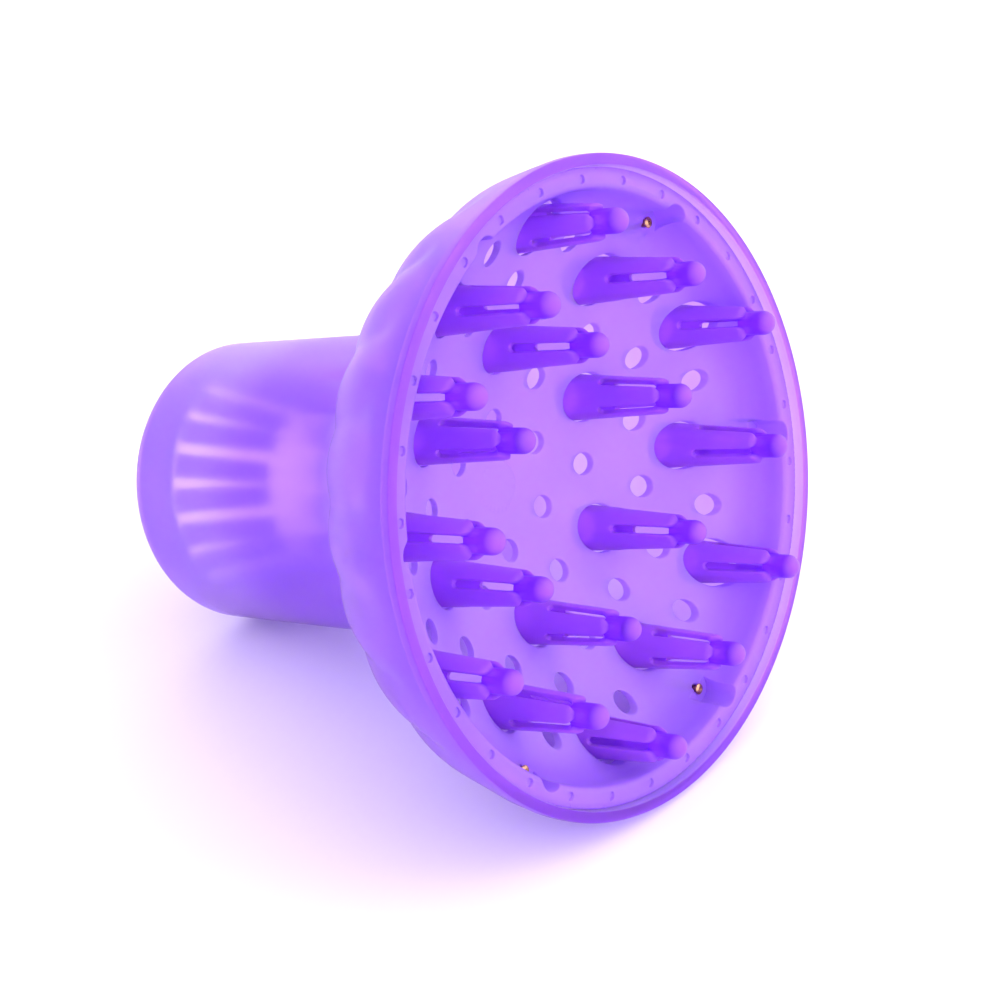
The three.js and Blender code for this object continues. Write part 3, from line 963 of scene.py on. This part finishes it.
def slab_faces(rows, across):
    """Faces of a closed slab whose vertices are two grids, each of some rows with some across."""
    count = rows * across
    faces = []
    for r in range(rows - 1):
        for k in range(across - 1):
            a = r * across + k
            faces.append((a, a + 1, a + across + 1, a + across))
            faces.append((count + a, count + a + across, count + a + across + 1, count + a + 1))
    rim = list(range(across))
    rim += [r * across + across - 1 for r in range(1, rows)]
    rim += [(rows - 1) * across + k for k in range(across - 2, -1, -1)]
    rim += [r * across for r in range(rows - 2, 0, -1)]
    return faces + [(a, count + a, count + b, b) for a, b in zip(rim, rim[1:] + rim[:1])]


def make_tongue(side):
    """A tongue starts at z = 0 at its root radius along X and leans in towards the axis. It is
    slightly curved across. side is 1 or -1: which of its edges has the narrow slot beside it."""
    lean = math.atan((TONGUE_ROOT - TONGUE_TIP) / TONGUE_LENGTH)
    reach = TONGUE_LENGTH / math.cos(lean)
    rows = [*np.linspace(0, reach - TIP_LENGTH, 12), *(reach - y for y in (0.9, 0.45, 0.12, 0))]
    last = TONGUE_COLUMNS - 1
    vertices = []
    for depth in (0, -TONGUE_THICKNESS):
        for y in rows:
            left, right = tongue_edges(y, reach)
            for k in range(TONGUE_COLUMNS):
                x = left + (right - left) * k / last
                bow = -TONGUE_BOW * (2 * k / last - 1) ** 2
                vertices.append((depth + bow, side * x, y))
    faces = slab_faces(len(rows), TONGUE_COLUMNS)
    if side < 0:
        faces = [tuple(reversed(face)) for face in faces]
    tongue = make_object("tongue", vertices, faces, SLEEVE)
    tongue.data.transform(Matrix.Rotation(-lean, 4, "Y"))
    soften(tongue, TONGUE_SOFTENING)
    return tongue


def make_tongues():
    masters = [make_tongue(1), make_tongue(-1)]
    for i in range(TONGUES):
        piece = copied(masters[i % 2], f"sleeve_tongue_{i + 1}")
        angle = SLEEVE_TURN + (i + 0.5) * 2 * math.pi / TONGUES
        place = Matrix.Translation((*polar(TONGUE_ROOT, angle), SLEEVE_FRONT + TONGUE_GAP))
        place = place @ Matrix.Rotation(angle, 4, "Z")
        finish_piece(piece, f"tongue_{i + 1}", "sleeve", f"grip_tongue_{i + 1}", place=place)
    for master in masters:
        bpy.data.objects.remove(master)


# ---- studio -------------------------------------------------------------------------------------
def place_object(name, data, place, aim):
    """A camera or a light at a place, turned towards what it aims at."""
    made = bpy.data.objects.new(name, data)
    bpy.context.scene.collection.objects.link(made)
    made.location = place
    made.rotation_euler = (Vector(aim) - Vector(place)).to_track_quat("-Z", "Y").to_euler()
    return made


def add_camera():
    """A camera to the front left of the face, held level and looking down on it."""
    data = bpy.data.cameras.new("camera")
    data.lens = CAMERA_LENS
    data.sensor_width = 36
    data.clip_start = 0.01
    bpy.context.scene.camera = place_object("camera", data, CAMERA_PLACE, CAMERA_AIM)


def add_lights():
    for name, place, power in LIGHTS:
        data = bpy.data.lights.new(name, "AREA")
        data.shape = "DISK"
        data.size = LIGHT_SIZE
        data.energy = power
        place_object(name, data, place, LIGHT_AIM)


def add_floor():
    """A wide pale floor, with a very faint unevenness. Its violet tint is painted light: it colours the
    floor's shadows violet, as if light came through the plastic.
    """
    material, tree, shader = new_material("floor_paper", {"Roughness": 0.9, "Specular IOR Level": 0.1})
    # Violet tint: painted violet light in the shadows on the floor.
    tone = add_ramp(tree, add_noise(tree, 3), (0.79, 0.70, 0.92), (0.81, 0.725, 0.935))
    tree.links.new(tone, shader.inputs["Base Color"])
    corners = [(x * FLOOR_HALF, y * FLOOR_HALF, 0) for x, y in ((-1, -1), (1, -1), (1, 1), (-1, 1))]
    floor = make_object("floor", corners, [(0, 1, 2, 3)], material)


def add_surroundings():
    """Soft white light from all sides, strongest in front of the face and weakest behind it."""
    world = bpy.data.worlds.new("studio")
    world.use_nodes = True
    tree = world.node_tree
    background = tree.nodes["Background"]
    background.inputs["Color"].default_value = (0.97, 0.955, 1, 1)
    place = tree.nodes.new("ShaderNodeTexCoord")
    facing = tree.nodes.new("ShaderNodeVectorMath")
    facing.operation = "DOT_PRODUCT"
    facing.inputs[1].default_value = FRONT_LIGHT
    tree.links.new(place.outputs["Generated"], facing.inputs[0])
    strength = add_range(tree, facing.outputs["Value"], DIMMEST, BRIGHTEST, -1)
    tree.links.new(strength, background.inputs["Strength"])
    bpy.context.scene.world = world


def add_studio():
    add_camera()
    add_floor()
    add_surroundings()
    add_lights()
    bpy.context.scene.view_settings.view_transform = "Standard"


add_studio()
make_shell()
make_plate()
make_prongs()
make_screws()
make_sleeve_ring()
make_tongues()
